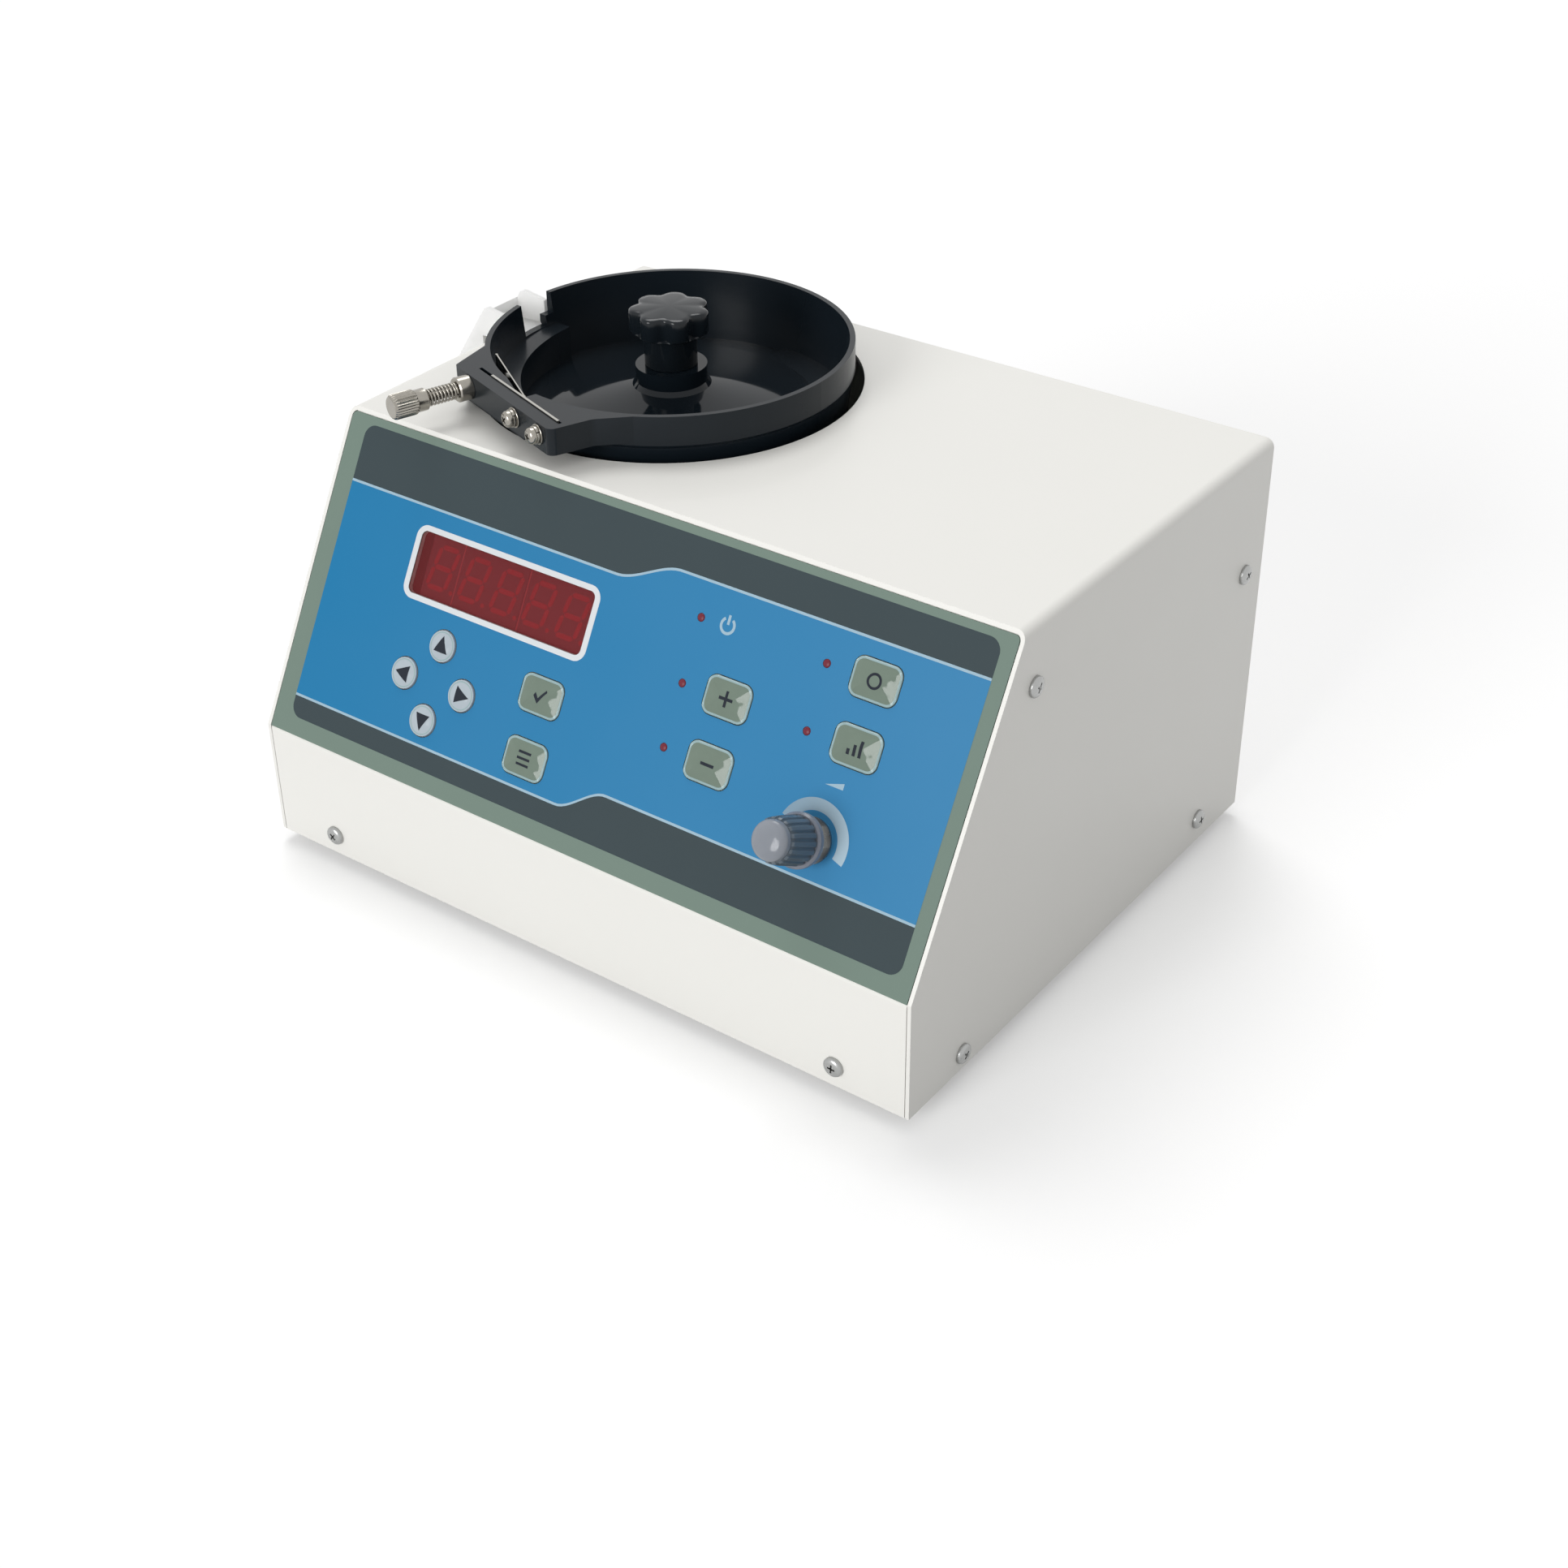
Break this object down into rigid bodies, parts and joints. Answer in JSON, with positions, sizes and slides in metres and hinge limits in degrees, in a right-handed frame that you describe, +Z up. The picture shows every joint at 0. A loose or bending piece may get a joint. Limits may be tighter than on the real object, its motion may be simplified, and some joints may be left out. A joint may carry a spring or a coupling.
{
  "type": "seed counter",
  "caption": "Bench seed counter: sloping membrane panel with digit window, vibrating spiral bowl with screw-set gate, clamp knob and hung light-gate chute.",
  "frame": {"origin": "on the table under the middle of the front left foot", "axes": "+X to the right, +Y to the back, +Z up"},
  "size_m": [0.2662, 0.2021, 0.1558],
  "materials": {
    "white_paint": "satin powder coat",
    "overlay": "satin printed membrane",
    "red_window": "clear red acrylic",
    "digit_block": "grey face",
    "board": "solder mask",
    "steel": "nickel plated",
    "brass": "turned",
    "black_plastic": "glossy moulding",
    "white_key": "embossed membrane",
    "green_key": "embossed membrane",
    "red_led": "diffused",
    "grey_knob": "smoky plastic",
    "rubber": "matt",
    "cast": "painted",
    "copper": "enamelled winding",
    "white_plastic": "smooth moulding",
    "core": "laminated"
  },
  "bodies": {
    "case": {"base_tray": "white_paint", "front_panel": "white_paint", "top_cover": "white_paint", "panel_overlay": "overlay", "feet": "rubber", "case_screws": "steel", "display_window": "red_window", "single_digit_module": "digit_block", "double_digit_modules": "digit_block", "control_board": "board", "board_spacers": "steel", "board_screws": "steel", "key_switches": "black_plastic", "indicator_leds": "red_led", "speed_pot": "steel", "pot_washer": "steel", "pot_nut": "steel", "isolators": "rubber", "feeder_base": "cast", "magnet_core": "core", "magnet_coil": "copper", "leaf_springs": "steel", "lower_spring_clamps": "steel", "chute_bracket": "steel", "transformer": "core", "power_inlet": "black_plastic", "power_switch": "black_plastic", "fuse_holder": "black_plastic"},
    "speed_dial": {"speed_knob": "grey_knob", "speed_knob_cap": "grey_knob", "pot_shaft": "steel"},
    "vibrator": {"vibrating_table": "core", "armature": "core", "centre_stud": "steel", "upper_spring_clamps": "steel"},
    "bowl_unit": {"bowl": "black_plastic", "gate_strip": "steel", "gate_screws": "steel", "gate_bushing": "steel", "gate_spring": "steel"},
    "gate_blade": {"gate_leaf": "steel"},
    "gate_tip": {"gate_plunger": "steel"},
    "gate_screw": {"thumb_screw": "steel"},
    "knob_sleeve": {"knob_insert": "brass"},
    "clamp_knob": {"star_knob": "black_plastic"},
    "chute_unit": {"chute": "white_plastic", "light_emitter": "black_plastic", "light_receiver": "black_plastic"},
    "hasp": {"hasp_arm": "steel"},
    "rocker": {"switch_rocker": "black_plastic"},
    "key_up_body": {"key_up": "white_key"},
    "key_down_body": {"key_down": "white_key"},
    "key_left_body": {"key_left": "white_key"},
    "key_right_body": {"key_right": "white_key"},
    "key_set_body": {"key_set": "green_key"},
    "key_read_body": {"key_read": "green_key"},
    "key_adjust_1_body": {"key_adjust_1": "green_key"},
    "key_adjust_2_body": {"key_adjust_2": "green_key"},
    "key_zero_body": {"key_zero": "green_key"},
    "key_count_body": {"key_count": "green_key"}
  },
  "joints": [
    {"name": "key_up_press", "type": "slide", "parent": "case", "child": "key_up_body", "axis": [0, 0.8697, -0.4935], "range_m": [0, 0.0005], "stiffness_N_per_m": 600, "springref_m": -0.0012},
    {"name": "key_down_press", "type": "slide", "parent": "case", "child": "key_down_body", "axis": [0, 0.8697, -0.4935], "range_m": [0, 0.0005], "stiffness_N_per_m": 600, "springref_m": -0.0012},
    {"name": "key_left_press", "type": "slide", "parent": "case", "child": "key_left_body", "axis": [0, 0.8697, -0.4935], "range_m": [0, 0.0005], "stiffness_N_per_m": 600, "springref_m": -0.0012},
    {"name": "key_right_press", "type": "slide", "parent": "case", "child": "key_right_body", "axis": [0, 0.8697, -0.4935], "range_m": [0, 0.0005], "stiffness_N_per_m": 600, "springref_m": -0.0012},
    {"name": "key_set_press", "type": "slide", "parent": "case", "child": "key_set_body", "axis": [0, 0.8697, -0.4935], "range_m": [0, 0.0005], "stiffness_N_per_m": 600, "springref_m": -0.0012},
    {"name": "key_read_press", "type": "slide", "parent": "case", "child": "key_read_body", "axis": [0, 0.8697, -0.4935], "range_m": [0, 0.0005], "stiffness_N_per_m": 600, "springref_m": -0.0012},
    {"name": "key_adjust_1_press", "type": "slide", "parent": "case", "child": "key_adjust_1_body", "axis": [0, 0.8697, -0.4935], "range_m": [0, 0.0005], "stiffness_N_per_m": 600, "springref_m": -0.0012},
    {"name": "key_adjust_2_press", "type": "slide", "parent": "case", "child": "key_adjust_2_body", "axis": [0, 0.8697, -0.4935], "range_m": [0, 0.0005], "stiffness_N_per_m": 600, "springref_m": -0.0012},
    {"name": "key_zero_press", "type": "slide", "parent": "case", "child": "key_zero_body", "axis": [0, 0.8697, -0.4935], "range_m": [0, 0.0005], "stiffness_N_per_m": 600, "springref_m": -0.0012},
    {"name": "key_count_press", "type": "slide", "parent": "case", "child": "key_count_body", "axis": [0, 0.8697, -0.4935], "range_m": [0, 0.0005], "stiffness_N_per_m": 600, "springref_m": -0.0012},
    {"name": "speed_turn", "type": "hinge", "parent": "case", "child": "speed_dial", "pos_m": [0.173, -0.0087, 0.06996], "axis": [0, -0.8697, 0.4935], "range_deg": [-150, 150]},
    {"name": "bowl_vibration", "type": "hinge", "parent": "case", "child": "vibrator", "pos_m": [0.0442, 0.0968, 0.1132], "axis": [0, 0, 1], "range_deg": [-0.7, 0.7], "stiffness_Nm_per_rad": 60, "deforming": ["leaf_springs"]},
    {"name": "bowl_lift", "type": "slide", "parent": "vibrator", "child": "bowl_unit", "axis": [0, 0, 1], "range_m": [0, 0.05]},
    {"name": "knob_rise", "type": "slide", "parent": "bowl_unit", "child": "knob_sleeve", "axis": [0, 0, 1], "range_m": [0, 0.0024]},
    {"name": "knob_turn", "type": "hinge", "parent": "knob_sleeve", "child": "clamp_knob", "pos_m": [0.0442, 0.0968, 0.1372], "axis": [0, 0, 1], "range_deg": [0, 1080]},
    {"name": "gate_feed", "type": "slide", "parent": "bowl_unit", "child": "gate_tip", "axis": [0.3289, 0.9444, 0], "range_m": [0, 0.003], "deforming": ["gate_spring"]},
    {"name": "gate_turn", "type": "hinge", "parent": "gate_tip", "child": "gate_screw", "pos_m": [0.01127, 0.04145, 0.1411], "axis": [0.3289, 0.9444, 0], "range_deg": [0, 2160]},
    {"name": "gate_blade_bend", "type": "hinge", "parent": "bowl_unit", "child": "gate_blade", "pos_m": [0.03496, 0.03987, 0.1396], "axis": [0, 0, -1], "range_deg": [0, 7]},
    {"name": "chute_lift", "type": "slide", "parent": "case", "child": "chute_unit", "axis": [0, 0, 1], "range_m": [0, 0.06]},
    {"name": "hasp_swing", "type": "hinge", "parent": "case", "child": "hasp", "pos_m": [-0.0449, 0.0839, 0.072], "axis": [0, 0, 1], "range_deg": [0, 110]},
    {"name": "power_rock", "type": "hinge", "parent": "case", "child": "rocker", "pos_m": [0.128, 0.164, 0.034], "axis": [-1, 0, 0], "range_deg": [-16, 0]}
  ],
  "couplings": [
    {"joint": "knob_turn", "follows": "knob_rise", "rad_per_m": 7854},
    {"joint": "gate_turn", "follows": "gate_feed", "rad_per_m": 12566},
    {"joint": "gate_blade_bend", "follows": "gate_feed", "rad_per_m": 40.753}
  ]
}
